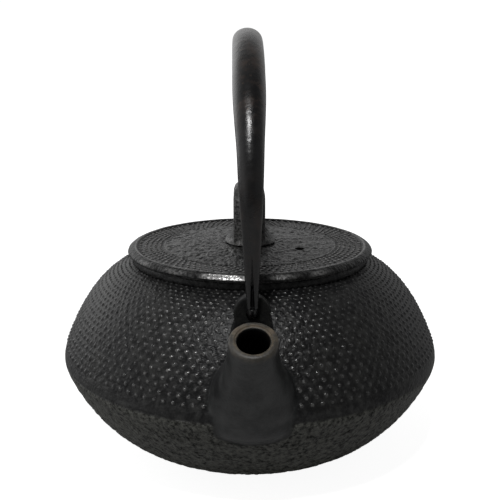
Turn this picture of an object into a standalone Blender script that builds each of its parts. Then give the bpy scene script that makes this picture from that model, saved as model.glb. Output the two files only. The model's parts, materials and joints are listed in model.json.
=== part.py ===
"""Wide, flat cast iron teapot: a hobnail-pattern kettle body with a short spout and two handle lugs,
a flat lid with a loop knob, a rolled steel bow handle that folds down to either side, and a
lift-out steel tea strainer.

Metres, +Z up. The origin is the centre of the flat base. The spout points to -Y, and the bow handle
stands over the lid from the front lug (-Y) to the rear lug (+Y).
"""

import math

import bmesh
import bpy
from mathutils import Matrix, Vector

MM = 0.001
GAP = 0.3 * MM  # between pieces that rest on each other

# Kettle body. Every (radius, height) pair is measured from the base centre.
BASE_RADIUS = 30.2 * MM
RIDGE_HEIGHT = 40.2 * MM  # the sharp waist where the hobnails end
RIDGE_ROUND = 2.7 * MM  # half the height of its rounding
RIDGE_RADIUS = 76.0 * MM
RIDGE_CORNER = 77.05 * MM  # where the two flanks would meet
SHOULDER_TOP = 77.3 * MM
SHOULDER_BEND = (65.1 * MM, 72.4 * MM)
BELLY_BEND = (62.4 * MM, 4.8 * MM)
WALL = 3.6 * MM
NECK_RADIUS = 47.1 * MM
NECK_TOP = 80.0 * MM
MOUTH_RADIUS = 42.2 * MM
LEDGE_RADIUS = 44.5 * MM  # the step inside the neck that carries the strainer
LEDGE_HEIGHT = 78.4 * MM

# Spout sections in mm, root to mouth: y, z, half width, half height, tilt of the section's normal.
SPOUT = (
    (-57.0, 38.0, 20.0, 12.5, 43),
    (-64.3, 42.6, 19.8, 14.4, 50),
    (-69.3, 48.3, 16.0, 12.9, 51),
    (-74.2, 54.8, 10.4, 10.9, 52),
    (-79.4, 61.8, 8.0, 8.9, 53),
    (-84.0, 68.7, 7.6, 7.9, 58),
    (-87.4, 74.3, 7.7, 7.7, 62),
)
SPOUT_BORE = (
    (-57.0, 41.0, 13.5, 10.0, 43),
    (-64.3, 44.8, 13.2, 11.2, 50),
    (-69.3, 49.6, 11.2, 10.0, 51),
    (-74.2, 55.3, 7.8, 8.2, 52),
    (-79.4, 62.0, 5.9, 6.5, 53),
    (-84.0, 68.7, 5.4, 5.6, 58),
    (-87.4, 74.3, 5.5, 5.5, 62),
    (-89.3, 77.9, 5.5, 5.5, 62),
)

# Handle pivot: one axis along Y through both lugs.
PIVOT_HEIGHT = 74.5 * MM
LUG_DISTANCE = 62.3 * MM
LUG_THICKNESS = 5.0 * MM
LUG_RADIUS = 6.3 * MM
LUG_FOOT_WIDTH = 9.5 * MM
LUG_FOOT_HEIGHT = 60.0 * MM
LUG_HOLE = 2.1 * MM
HOOK_RADIUS = 1.6 * MM
HOOK_BEND = 3.2 * MM
HOOK_PROUD = 2.0 * MM  # how far the tip shows behind the lug
HOOK_CHAMFER = 0.5 * MM
TENON_RADIUS = 0.7 * MM  # the thin end inside the bow
TENON_LENGTH = 7.0 * MM

# Bow handle, hollow and rolled from sheet.
BOW_END = (67.5 * MM, 78.0 * MM)
BOW_SHOULDER = (70.5 * MM, 108.0 * MM)
BOW_RISE = 55.3 * MM
BOW_SHEET = 0.9 * MM
BOW_FLATNESS = 0.82  # radial thickness over width
BOW_LEAST_HALF_DEPTH = 1.9 * MM
BOW_LEAN = 0.012  # the bow is bent a little towards -X
SEAM_TOP = 95.5 * MM
SEAM_WIDTH = 1.6 * MM
SEAM_POINT = 0.2 * MM  # its width where it closes
# Half width of the bow at each height.
BOW_WIDTHS = (
    (78, 1.95),
    (86, 2.3),
    (97, 2.85),
    (114, 3.85),
    (131, 4.6),
    (139, 5.2),
    (145, 5.6),
    (170, 5.65),
)

# Lid.
LID_RADIUS = 49.6 * MM
LID_UNDERSIDE = NECK_TOP + GAP
LID_RIM_TOP = 83.5 * MM
LID_FIELD_TOP = 82.7 * MM
LID_CENTRE_TOP = 84.3 * MM
LID_FLAT_RADIUS = 14.0 * MM  # the level middle that carries the knob
LID_DISC_RADIUS = 34.5 * MM  # the low dome round it, with a small step at its edge
LID_FIELD_INNER = 35.5 * MM
LID_FIELD_OUTER = 45.2 * MM
LID_RIM_INNER = 45.9 * MM
LID_RIM_CREST = 46.6 * MM  # the crest is near the rim's inner side, and the outer side slopes down
LID_RIM_SHOULDER = (48.7 * MM, 82.7 * MM)
SKIRT_RADIUS = 40.2 * MM
SKIRT_WALL = 2.2 * MM
SKIRT_BOTTOM = 75.3 * MM
VENT_PLACE = (19.6 * MM, -11.8 * MM)
VENT_RADIUS = 1.9 * MM
STEM_HOLE = 3.3 * MM

# Knob: a loop of cast strap, peened under the lid.
KNOB_TOP = 108.4 * MM
KNOB_THICKNESS = 4.2 * MM
KNOB_HALF_LENGTH = 10.0 * MM
KNOB_HALF_WIDTH = 6.35 * MM
KNOB_OFFSET = -0.35 * MM  # the loop stands a little to -X of the stem
KNOB_CROWN_HEIGHT = 6.0 * MM  # where its sides start to draw in
KNOB_CROWN_SHARE = 0.72  # its width at the very top
KNOB_ARCH_STEP = 15  # degrees
FLARE_HEIGHT = 6.0 * MM
FLARE_HALF_WIDTH = 10.4 * MM
FLARE_HALF_LENGTH = 12.4 * MM
FLARE_TUCK = 0.95  # keeps the flare's top inside the loop's feet
FLARE_STEPS = 5
STEM_RADIUS = 3.0 * MM
WASHER_RADIUS = 7.0 * MM
WASHER_THICKNESS = 1.0 * MM
PEEN_RADIUS = 4.6 * MM
PEEN_THICKNESS = 1.2 * MM
PEEN_CHAMFER = 0.8 * MM

# Tea strainer.
COLLAR_FLANGE_RADIUS = 44.2 * MM
COLLAR_TOP = 79.3 * MM
COLLAR_RADIUS = 41.6 * MM
COLLAR_BOTTOM = 69.0 * MM
STRAINER_SHEET = 0.6 * MM
BASKET_RADIUS = 40.6 * MM
BASKET_SHEET = 0.5 * MM
BASKET_TOP = 72.0 * MM
BASKET_BOTTOM = 40.2 * MM
FLOOR_RADIUS = 39.9 * MM
FLOOR_HEIGHT = 39.3 * MM
BAND_RADIUS = 41.4 * MM
BAND_BOTTOM = 38.4 * MM
BAND_TOP = 43.0 * MM
BAND_LIP = 36.0 * MM

ROUND_STEPS = 64
SPOUT_STEPS = 28
SHARP_ANGLE = 35  # degrees, for smooth shading
OVERLAP = 1.0 * MM  # of forms that are joined, and of cutters past a face


def clear_scene():
    for obj in list(bpy.data.objects):
        bpy.data.objects.remove(obj)


def collection(name):
    made = bpy.data.collections.new(name)
    bpy.context.scene.collection.children.link(made)
    return made


def material(name, colour, roughness, metallic):
    made = bpy.data.materials.new(name)
    made.use_nodes = True
    shader = made.node_tree.nodes["Principled BSDF"]
    shader.inputs["Base Color"].default_value = (*colour, 1.0)
    shader.inputs["Roughness"].default_value = roughness
    shader.inputs["Metallic"].default_value = metallic
    return made


def bezier(start, bend, end, segments):
    """Points of a quadratic curve, its first point included and its last left out."""
    points = []
    for i in range(segments):
        t = i / segments
        weights = ((1 - t) ** 2, 2 * t * (1 - t), t * t)
        points.append(
            tuple(weights[0] * a + weights[1] * b + weights[2] * c for a, b, c in zip(start, bend, end))
        )
    return points


def inset(profile, thickness):
    """The profile moved inwards by the wall thickness, for one that runs down its outer side."""
    moved = []
    for i, (radius, height) in enumerate(profile):
        before = Vector(profile[max(i - 1, 0)])
        after = Vector(profile[min(i + 1, len(profile) - 1)])
        along = (after - before).normalized()
        moved.append((radius + along.y * thickness, height - along.x * thickness))
    return moved


def new_object(name, mesh, home):
    obj = bpy.data.objects.new(name, mesh)
    home.objects.link(obj)
    return obj


def turned(name, profile, home, steps=ROUND_STEPS, closed=False):
    """A solid of revolution about Z from (radius, height) points that run down its outer side."""
    mesh = bpy.data.meshes.new(name)
    edges = [(i, i + 1) for i in range(len(profile) - 1)]
    if closed:
        edges.append((len(profile) - 1, 0))
    mesh.from_pydata([(r, 0, z) for r, z in profile], edges, [])
    obj = new_object(name, mesh, home)
    screw = obj.modifiers.new("turn", "SCREW")
    screw.steps = steps
    screw.render_steps = steps
    screw.use_merge_vertices = True
    screw.merge_threshold = 0.00001
    screw.use_smooth_shade = True
    return obj


def loft(name, rings, home):
    """A capped solid through rings that all have the same number of points."""
    shape = bmesh.new()
    rows = [[shape.verts.new(point) for point in ring] for ring in rings]
    count = len(rings[0])
    for low, high in zip(rows, rows[1:]):
        for i in range(count):
            j = (i + 1) % count
            shape.faces.new((low[i], low[j], high[j], high[i]))
    shape.faces.new(reversed(rows[0]))
    shape.faces.new(rows[-1])
    bmesh.ops.recalc_face_normals(shape, faces=shape.faces)
    mesh = bpy.data.meshes.new(name)
    shape.to_mesh(mesh)
    shape.free()
    mesh.shade_smooth()
    mesh.set_sharp_from_angle(angle=math.radians(SHARP_ANGLE))
    return new_object(name, mesh, home)


def extruded(name, outline, half_depth, home):
    """A flat outline in the XZ plane, given depth both ways along Y, as one closed mesh."""
    curve = bpy.data.curves.new(name, "CURVE")
    curve.dimensions = "2D"
    curve.fill_mode = "BOTH"
    curve.extrude = half_depth
    for loop in outline:
        spline = curve.splines.new("POLY")
        spline.points.add(len(loop) - 1)
        spline.use_cyclic_u = True
        for point, (x, z) in zip(spline.points, loop):
            point.co = (x, z, 0, 1)
    obj = new_object(name + "_curve", curve, home)
    obj.rotation_euler.x = math.radians(90)
    return meshed(obj, name, home)


def meshed(curve_object, name, home):
    """The curve's evaluated shape as a mesh object with welded caps. The curve is removed."""
    bpy.context.view_layer.update()
    graph = bpy.context.evaluated_depsgraph_get()
    mesh = bpy.data.meshes.new_from_object(curve_object.evaluated_get(graph))
    shape = bmesh.new()
    shape.from_mesh(mesh)
    bmesh.ops.remove_doubles(shape, verts=shape.verts, dist=0.00001)
    bmesh.ops.recalc_face_normals(shape, faces=shape.faces)
    shape.to_mesh(mesh)
    shape.free()
    obj = new_object(name, mesh, home)
    obj.data.transform(curve_object.matrix_world)
    bpy.data.objects.remove(curve_object)
    return obj


def pin_cutter(name, radius, start, end, home, steps=24):
    """A cylinder from start to end."""
    start, end = Vector(start), Vector(end)
    shape = bmesh.new()
    bmesh.ops.create_cone(
        shape,
        cap_ends=True,
        segments=steps,
        radius1=radius,
        radius2=radius,
        depth=(end - start).length,
    )
    turn = (end - start).to_track_quat("Z", "Y").to_matrix().to_4x4()
    bmesh.ops.transform(shape, matrix=Matrix.Translation((start + end) / 2) @ turn, verts=shape.verts)
    mesh = bpy.data.meshes.new(name)
    shape.to_mesh(mesh)
    shape.free()
    return new_object(name, mesh, home)


def hide(obj):
    obj.hide_render = True
    obj.display_type = "WIRE"


def combine(obj, other, operation):
    """Joins or cuts obj with other, which stays in the file as a hidden helper."""
    modifier = obj.modifiers.new(operation.lower(), "BOOLEAN")
    modifier.operation = operation
    modifier.solver = "EXACT"
    modifier.object = other
    hide(other)


def body_curve():
    """The kettle's outer profile from the neck's foot to the base edge."""
    ridge_above = (RIDGE_RADIUS, RIDGE_HEIGHT + RIDGE_ROUND)
    ridge_below = (RIDGE_RADIUS, RIDGE_HEIGHT - RIDGE_ROUND)
    shoulder = bezier((NECK_RADIUS, SHOULDER_TOP), SHOULDER_BEND, ridge_above, 9)
    ridge = bezier(ridge_above, (RIDGE_CORNER, RIDGE_HEIGHT), ridge_below, 3)
    belly = bezier(ridge_below, BELLY_BEND, (BASE_RADIUS, 0), 7)
    return [*shoulder, *ridge, *belly, (BASE_RADIUS, 0)]


def section(y, z, half_width, half_height, tilt, steps=SPOUT_STEPS):
    """One oval spout section in millimetres, as points in metres. Its normal leans to -Y by 90 - tilt."""
    angle = math.radians(tilt)
    centre = Vector((0, y, z)) * MM
    across = Vector((1, 0, 0)) * half_width * MM
    up = Vector((0, math.sin(angle), math.cos(angle))) * half_height * MM
    turns = [2 * math.pi * i / steps for i in range(steps)]
    return [centre + math.cos(a) * across + math.sin(a) * up for a in turns]


def spout_rings(table):
    """The sections as rings, with one more between each two, on a smooth curve through them all."""
    rows = [table[0], *table, table[-1]]
    full = []
    for i in range(1, len(rows) - 2):
        near, far = zip(rows[i], rows[i + 1]), zip(rows[i - 1], rows[i + 2])
        halfway = [(9 * (a + b) - (c + d)) / 16 for (a, b), (c, d) in zip(near, far)]
        full += [rows[i], halfway]
    return [section(*row) for row in [*full, table[-1]]]


def lug(name, y, home):
    """An upright ear round the handle's pivot hole, spreading towards its foot."""
    arc = [math.radians(a) for a in range(-15, 196, 15)]
    outline = [(LUG_RADIUS * math.cos(a), PIVOT_HEIGHT + LUG_RADIUS * math.sin(a)) for a in arc]
    outline += [(-LUG_FOOT_WIDTH, LUG_FOOT_HEIGHT), (LUG_FOOT_WIDTH, LUG_FOOT_HEIGHT)]
    obj = extruded(name, [outline], LUG_THICKNESS / 2, home)
    obj.data.transform(Matrix.Translation((0, y, 0)))
    return obj


def make_body(parts, cutters):
    outside = body_curve()
    profile = [(0, NECK_TOP), (NECK_RADIUS, NECK_TOP), *outside, (0, 0)]
    body = turned("kettle_body", profile, parts)
    combine(body, loft("spout_form", spout_rings(SPOUT), cutters), "UNION")
    for side, y in (("front", -LUG_DISTANCE), ("rear", LUG_DISTANCE)):
        combine(body, lug(f"{side}_lug_form", y, cutters), "UNION")
    inner = [p for p in inset(outside, WALL) if p[0] > MOUTH_RADIUS + WALL or p[1] < RIDGE_HEIGHT]
    cavity = [
        (0, NECK_TOP + WALL),
        (LEDGE_RADIUS, NECK_TOP + WALL),
        (LEDGE_RADIUS, LEDGE_HEIGHT),
        (MOUTH_RADIUS, LEDGE_HEIGHT),
        (MOUTH_RADIUS, SHOULDER_TOP - WALL),
        *inner[:-1],
        (BASE_RADIUS - WALL, WALL),
        (0, WALL),
    ]
    combine(body, turned("cavity_cutter", cavity, cutters), "DIFFERENCE")
    combine(body, loft("bore_cutter", spout_rings(SPOUT_BORE), cutters), "DIFFERENCE")
    for side, y in (("front", -LUG_DISTANCE), ("rear", LUG_DISTANCE)):
        ends = ((0, y - LUG_THICKNESS, PIVOT_HEIGHT), (0, y + LUG_THICKNESS, PIVOT_HEIGHT))
        combine(body, pin_cutter(f"{side}_eye_cutter", LUG_HOLE, *ends, cutters), "DIFFERENCE")
    return body


def make_lid(parts, cutters):
    profile = [
        (0, LID_CENTRE_TOP),
        (LID_FLAT_RADIUS, LID_CENTRE_TOP),
        (LID_DISC_RADIUS, LID_FIELD_TOP + 0.3 * MM),
        (LID_FIELD_INNER, LID_FIELD_TOP),
        (LID_FIELD_OUTER, LID_FIELD_TOP),
        (LID_RIM_INNER, LID_RIM_TOP - 0.2 * MM),
        (LID_RIM_CREST, LID_RIM_TOP),
        LID_RIM_SHOULDER,
        (LID_RADIUS, LID_UNDERSIDE + 1.4 * MM),
        (LID_RADIUS, LID_UNDERSIDE + 0.7 * MM),
        (LID_RADIUS - 0.7 * MM, LID_UNDERSIDE),
        (SKIRT_RADIUS, LID_UNDERSIDE),
        (SKIRT_RADIUS - 0.4 * MM, SKIRT_BOTTOM),
        (SKIRT_RADIUS - SKIRT_WALL, SKIRT_BOTTOM),
        (SKIRT_RADIUS - SKIRT_WALL - 0.4 * MM, LID_UNDERSIDE),
        (0, LID_UNDERSIDE),
    ]
    lid = turned("lid_plate", profile, parts)
    top, bottom = LID_CENTRE_TOP + OVERLAP, LID_UNDERSIDE - OVERLAP
    vent = ((*VENT_PLACE, bottom), (*VENT_PLACE, top))
    combine(lid, pin_cutter("vent_cutter", VENT_RADIUS, *vent, cutters, steps=20), "DIFFERENCE")
    stem = ((0, 0, bottom), (0, 0, top))
    combine(lid, pin_cutter("stem_cutter", STEM_HOLE, *stem, cutters), "DIFFERENCE")
    return lid


def knob_outline():
    """The loop seen from its side: its outer edge and the finger hole, each an arch on straight legs."""
    foot = LID_CENTRE_TOP + GAP
    loops = []
    for half_length, low, top in (
        (KNOB_HALF_LENGTH, foot, KNOB_TOP),
        (KNOB_HALF_LENGTH - KNOB_THICKNESS, foot + FLARE_HEIGHT, KNOB_TOP - KNOB_THICKNESS),
    ):
        arc = [math.radians(a) for a in range(0, 181, KNOB_ARCH_STEP)]
        centre = top - half_length
        loop = [(half_length * math.cos(a), centre + half_length * math.sin(a)) for a in arc]
        loops.append([(half_length, low), *loop, (-half_length, low)])
    return loops


def make_knob(parts, cutters):
    foot = LID_CENTRE_TOP + GAP
    knob = extruded("lid_knob", knob_outline(), KNOB_HALF_WIDTH, parts)
    knob.data.transform(Matrix.Rotation(math.radians(90), 4, "Z"))
    for vertex in knob.data.vertices:
        rise = max(0, 1 - (KNOB_TOP - vertex.co.z) / KNOB_CROWN_HEIGHT)
        vertex.co.x = KNOB_OFFSET + vertex.co.x * (1 + rise**2 * (KNOB_CROWN_SHARE - 1))
    rings = []
    for i in range(FLARE_STEPS + 1):
        share = i / FLARE_STEPS
        spread = (1 - share) ** 2
        half_width = FLARE_TUCK * KNOB_HALF_WIDTH + spread * (FLARE_HALF_WIDTH - KNOB_HALF_WIDTH)
        half_length = FLARE_TUCK * KNOB_HALF_LENGTH + spread * (FLARE_HALF_LENGTH - KNOB_HALF_LENGTH)
        height = foot + share * (FLARE_HEIGHT - 0.1 * MM)
        turns = [2 * math.pi * k / 32 for k in range(32)]
        rings.append([(half_width * math.cos(a), half_length * math.sin(a), height) for a in turns])
    combine(knob, loft("flare_form", rings, cutters), "UNION")
    washer_bottom = LID_UNDERSIDE - GAP - WASHER_THICKNESS
    peen_top = washer_bottom - GAP
    stem = [
        (0, foot + OVERLAP),
        (STEM_RADIUS, foot + OVERLAP),
        (STEM_RADIUS, peen_top),
        (PEEN_RADIUS, peen_top),
        (PEEN_RADIUS - PEEN_CHAMFER, peen_top - PEEN_THICKNESS),
        (0, peen_top - PEEN_THICKNESS),
    ]
    combine(knob, turned("stem_form", stem, cutters, steps=24), "UNION")
    return knob


def make_washer(parts):
    top = LID_UNDERSIDE - GAP
    bottom = top - WASHER_THICKNESS
    inner = STEM_HOLE
    profile = [(inner, top), (WASHER_RADIUS, top), (WASHER_RADIUS, bottom), (inner, bottom)]
    return turned("knob_washer", profile, parts, steps=32, closed=True)


def bow_half_width(height):
    """Half the bow's width at a height, read between the listed sizes."""
    millimetres = height / MM
    for (low, at_low), (high, at_high) in zip(BOW_WIDTHS, BOW_WIDTHS[1:]):
        if millimetres <= high:
            share = max(0.0, (millimetres - low) / (high - low))
            return (at_low + share * (at_high - at_low)) * MM
    return BOW_WIDTHS[-1][1] * MM


def bow_path():
    """Centre points (y, z) from the front end over the top to the rear end."""
    leg_steps, arch_steps = 7, 22
    leg = []
    for i in range(leg_steps):
        share = i / leg_steps
        y = BOW_END[0] + (BOW_SHOULDER[0] - BOW_END[0]) * (1 - (1 - share) ** 2)
        leg.append((-y, BOW_END[1] + (BOW_SHOULDER[1] - BOW_END[1]) * share))
    arch = []
    for i in range(arch_steps + 1):
        angle = math.pi * i / arch_steps
        arch.append((-BOW_SHOULDER[0] * math.cos(angle), BOW_SHOULDER[1] + BOW_RISE * math.sin(angle)))
    return [*leg, *arch, *((-y, z) for y, z in reversed(leg))]


def bow_rings(shrink, overrun, sides=14):
    """Oval rings square to the path, smaller than the outside by shrink and longer by overrun."""
    path = [Vector((0, y, z)) for y, z in bow_path()]
    rings = []
    for i, centre in enumerate(path):
        along = (path[min(i + 1, len(path) - 1)] - path[max(i - 1, 0)]).normalized()
        outwards = Vector((0, along.z, -along.y)) * -1
        half_width = bow_half_width(centre.z) - shrink
        half_depth = max(bow_half_width(centre.z) * BOW_FLATNESS, BOW_LEAST_HALF_DEPTH) - shrink
        if i in (0, len(path) - 1):
            centre = centre + along * (overrun if i else -overrun)
        centre = centre + Vector((BOW_LEAN * (PIVOT_HEIGHT - centre.z), 0, 0))
        turns = [2 * math.pi * k / sides for k in range(sides)]
        rings.append(
            [
                centre + Vector((math.cos(a) * half_width, 0, 0)) + outwards * math.sin(a) * half_depth
                for a in turns
            ]
        )
    return rings


def seam_cutter(name, side, home):
    """A wedge that opens the rolled sheet's seam on the outer face of a leg's tapered end."""
    bottom = BOW_END[1] - 2 * OVERLAP
    leg_lean = BOW_SHOULDER[0] - BOW_END[0]
    outer = BOW_SHOULDER[0] + 6 * OVERLAP
    rings = []
    for height, width, inner in (
        (bottom, SEAM_WIDTH, BOW_END[0] + GAP),
        (SEAM_TOP, SEAM_POINT, BOW_END[0] + GAP + 0.8 * leg_lean),
    ):
        centre = BOW_LEAN * (PIVOT_HEIGHT - height)
        corners = ((-0.5, inner), (0.5, inner), (0.5, outer), (-0.5, outer))
        rings.append([(centre + x * width, side * y, height) for x, y in corners])
    return loft(name, rings, home)


def make_bow(parts, cutters):
    bow = loft("handle_bow", bow_rings(0, 0), parts)
    combine(bow, loft("bow_hollow_cutter", bow_rings(BOW_SHEET, OVERLAP), cutters), "DIFFERENCE")
    combine(bow, seam_cutter("front_seam_cutter", -1, cutters), "DIFFERENCE")
    combine(bow, seam_cutter("rear_seam_cutter", 1, cutters), "DIFFERENCE")
    return bow


def round_rings(stations, sides=12):
    """Round rings in the YZ plane, each from a (y, z, lean of its normal from +Z towards +Y, radius)."""
    rings = []
    for y, z, lean, radius in stations:
        centre = Vector((0, y, z))
        across = Vector((1, 0, 0)) * radius
        outwards = Vector((0, math.cos(lean), -math.sin(lean))) * radius
        turns = [2 * math.pi * k / sides for k in range(sides)]
        rings.append([centre + across * math.cos(a) + outwards * math.sin(a) for a in turns])
    return rings


def make_hook(name, side, parts):
    """The forged end that is fixed in the bow and passes through its lug."""
    path = [Vector(point) for point in bow_path()[-2:]]
    down = (path[1] - path[0]).normalized()
    lean = math.atan2(-down.x, -down.y)
    foot = Vector(BOW_END)
    shoulder = foot + down * GAP
    top = foot - down * TENON_LENGTH
    drop = HOOK_BEND * (1 - math.sin(lean))
    straight = (foot.y - PIVOT_HEIGHT - drop) / math.cos(lean)
    bend_start = foot + down * straight
    stations = [(*top, lean, TENON_RADIUS), (*shoulder, lean, TENON_RADIUS), (*shoulder, lean, HOOK_RADIUS)]
    turn = math.pi / 2 - lean
    centre = Vector((bend_start.x - HOOK_BEND * math.cos(lean), bend_start.y + HOOK_BEND * math.sin(lean)))
    for i in range(6):
        angle = lean + turn * i / 5
        y = centre.x + HOOK_BEND * math.cos(angle)
        stations.append((y, centre.y - HOOK_BEND * math.sin(angle), angle, HOOK_RADIUS))
    tip = LUG_DISTANCE - LUG_THICKNESS / 2 - HOOK_PROUD
    stations.append((tip + HOOK_CHAMFER, PIVOT_HEIGHT, math.pi / 2, HOOK_RADIUS))
    stations.append((tip, PIVOT_HEIGHT, math.pi / 2, HOOK_RADIUS - HOOK_CHAMFER))
    hook = loft(name, round_rings(stations), parts)
    if side < 0:
        hook.data.transform(Matrix.Rotation(math.pi, 4, "Z"))
    return hook


def hang_on_pivot(handle, home):
    """Parents the handle's pieces to an empty on the axis that they fold about."""
    pivot = new_object("handle_pivot", None, home)
    pivot.location.z = PIVOT_HEIGHT
    for obj in handle:
        obj.parent = pivot
        obj.matrix_parent_inverse = Matrix.Translation((0, 0, -PIVOT_HEIGHT))


def make_collar(parts):
    inner = COLLAR_RADIUS - STRAINER_SHEET
    profile = [
        (inner, COLLAR_TOP),
        (COLLAR_FLANGE_RADIUS, COLLAR_TOP),
        (COLLAR_FLANGE_RADIUS, COLLAR_TOP - STRAINER_SHEET),
        (COLLAR_RADIUS, COLLAR_TOP - STRAINER_SHEET),
        (COLLAR_RADIUS, COLLAR_BOTTOM),
        (inner, COLLAR_BOTTOM),
    ]
    return turned("strainer_collar", profile, parts, closed=True)


def make_basket(parts):
    inner = BASKET_RADIUS - BASKET_SHEET
    profile = [
        (inner, BASKET_TOP),
        (BASKET_RADIUS, BASKET_TOP),
        (BASKET_RADIUS, BASKET_BOTTOM),
        (inner, BASKET_BOTTOM),
    ]
    return turned("strainer_mesh_wall", profile, parts, closed=True)


def make_floor(parts):
    top = FLOOR_HEIGHT + STRAINER_SHEET
    profile = [(0, top), (FLOOR_RADIUS, top), (FLOOR_RADIUS, FLOOR_HEIGHT), (0, FLOOR_HEIGHT)]
    return turned("strainer_mesh_floor", profile, parts)


def make_band(parts):
    inner = BAND_RADIUS - BASKET_SHEET
    profile = [
        (inner, BAND_TOP),
        (BAND_RADIUS, BAND_TOP),
        (BAND_RADIUS, BAND_BOTTOM),
        (BAND_LIP, BAND_BOTTOM),
        (BAND_LIP, BAND_BOTTOM + BASKET_SHEET),
        (inner, BAND_BOTTOM + BASKET_SHEET),
    ]
    return turned("strainer_base_band", profile, parts, closed=True)


def main():
    clear_scene()
    parts = collection("cast_iron_teapot")
    cutters = collection("cutters")
    iron = material("black_cast_iron", (0.022, 0.022, 0.024), 0.5, 0.3)
    steel = material("blackened_steel", (0.03, 0.028, 0.028), 0.35, 0.6)
    stainless = material("stainless_steel", (0.55, 0.55, 0.54), 0.3, 1.0)

    cast = [make_body(parts, cutters), make_lid(parts, cutters), make_knob(parts, cutters)]
    hooks = [make_hook("front_hook", -1, parts), make_hook("rear_hook", 1, parts)]
    handle = [make_bow(parts, cutters), *hooks]
    strainer = [make_collar(parts), make_basket(parts), make_floor(parts), make_band(parts)]
    hang_on_pivot(handle, parts)
    for finish, pieces in ((iron, cast), (steel, [make_washer(parts), *handle]), (stainless, strainer)):
        for obj in pieces:
            obj.data.materials.append(finish)


main()
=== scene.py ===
import json
import math

import bpy
import numpy as np
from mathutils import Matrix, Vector
from mathutils.bvhtree import BVHTree


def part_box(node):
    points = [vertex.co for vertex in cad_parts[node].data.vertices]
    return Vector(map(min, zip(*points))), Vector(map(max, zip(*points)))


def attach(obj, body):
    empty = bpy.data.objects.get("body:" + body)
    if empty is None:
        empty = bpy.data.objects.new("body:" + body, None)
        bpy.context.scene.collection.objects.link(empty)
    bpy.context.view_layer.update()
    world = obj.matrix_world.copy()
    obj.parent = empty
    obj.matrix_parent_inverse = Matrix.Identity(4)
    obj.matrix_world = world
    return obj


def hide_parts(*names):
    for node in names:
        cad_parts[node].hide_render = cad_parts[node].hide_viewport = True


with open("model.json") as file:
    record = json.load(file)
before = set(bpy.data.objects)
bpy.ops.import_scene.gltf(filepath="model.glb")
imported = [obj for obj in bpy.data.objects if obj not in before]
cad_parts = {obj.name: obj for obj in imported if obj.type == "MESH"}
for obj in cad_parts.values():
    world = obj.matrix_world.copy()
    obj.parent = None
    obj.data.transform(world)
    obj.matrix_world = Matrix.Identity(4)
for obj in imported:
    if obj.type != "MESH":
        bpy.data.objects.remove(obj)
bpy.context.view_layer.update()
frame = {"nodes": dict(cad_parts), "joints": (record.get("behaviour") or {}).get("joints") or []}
MM = 0.001
TAU = 2 * math.pi

BODY_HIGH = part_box("kettle_body")[1]
PIVOT_Z = next(j["pos_m"][2] for j in frame["joints"] if j["name"] == "handle_fold")
RIDGE_Z = 40.2 * MM
RIDGE_R = BODY_HIGH.x - 0.47 * MM
NECK_R = 47.1 * MM
NECK_Z = 80.0 * MM
BASE_R = 30.2 * MM
MOUTH = Vector((0, -87.4, 74.3)) * MM  # centre of the spout's mouth
MOUTH_TILT = math.radians(62)
SPOUT = (  # y, z, half width, half height, tilt of the section's normal
    (-57.0, 38.0, 20.0, 12.5, 43),
    (-64.3, 42.6, 19.8, 14.4, 50),
    (-69.3, 48.3, 15.6, 12.9, 51),
    (-74.2, 54.8, 12.0, 10.9, 52),
    (-79.4, 61.8, 9.4, 8.9, 53),
    (-84.0, 68.7, 8.1, 7.9, 58),
    (-87.4, 74.3, 7.8, 7.7, 62),
)
BORE = (
    (-57.0, 41.0, 13.5, 10.0, 43),
    (-64.3, 44.8, 13.2, 11.2, 50),
    (-69.3, 49.6, 11.2, 10.0, 51),
    (-74.2, 55.3, 7.8, 8.2, 52),
    (-79.4, 62.0, 5.9, 6.5, 53),
    (-84.0, 68.7, 5.3, 5.5, 58),
    (-86.9, 73.4, 5.2, 5.2, 62),
    (-87.4, 74.3, 6.0, 6.0, 62),
    (-89.3, 77.9, 7.4, 7.4, 62),
)


# ---------------------------------------------------------------- mesh helpers


def mesh_from(name, verts, quads, tris=()):
    """A mesh from arrays. Quads and triangles are rows of vertex numbers. Its faces are made to face out."""
    verts = np.asarray(verts, float)
    quads = np.asarray(quads, np.int32).reshape(-1, 4)
    tris = np.asarray(tris, np.int32).reshape(-1, 3)
    halves = np.concatenate([quads[:, [0, 1, 2]], quads[:, [0, 2, 3]], tris])
    if np.linalg.det(verts[halves] - verts.mean(0)).sum() < 0:
        quads, tris = quads[:, ::-1], tris[:, ::-1]
    mesh = bpy.data.meshes.new(name)
    mesh.vertices.add(len(verts))
    mesh.vertices.foreach_set("co", np.asarray(verts, np.float32).ravel())
    loops = np.concatenate([quads.ravel(), tris.ravel()])
    mesh.loops.add(len(loops))
    mesh.loops.foreach_set("vertex_index", loops)
    starts = np.concatenate([np.arange(len(quads)) * 4, 4 * len(quads) + np.arange(len(tris)) * 3])
    mesh.polygons.add(len(starts))
    mesh.polygons.foreach_set("loop_start", starts.astype(np.int32))
    mesh.update(calc_edges=True)
    mesh.validate()
    mesh.shade_smooth()
    return mesh


def add(name, mesh):
    obj = bpy.data.objects.new(name, mesh)
    bpy.context.scene.collection.objects.link(obj)
    return obj


def grid_faces(rows, cols, wrap_rows=False):
    """Quads between the rows of a grid that is closed round its columns."""
    last = rows if wrap_rows else rows - 1
    i, j = np.meshgrid(np.arange(last), np.arange(cols), indexing="ij")
    k, n = (j + 1) % cols, (i + 1) % rows
    return np.stack([i * cols + j, n * cols + j, n * cols + k, i * cols + k], -1).reshape(-1, 4)


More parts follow.
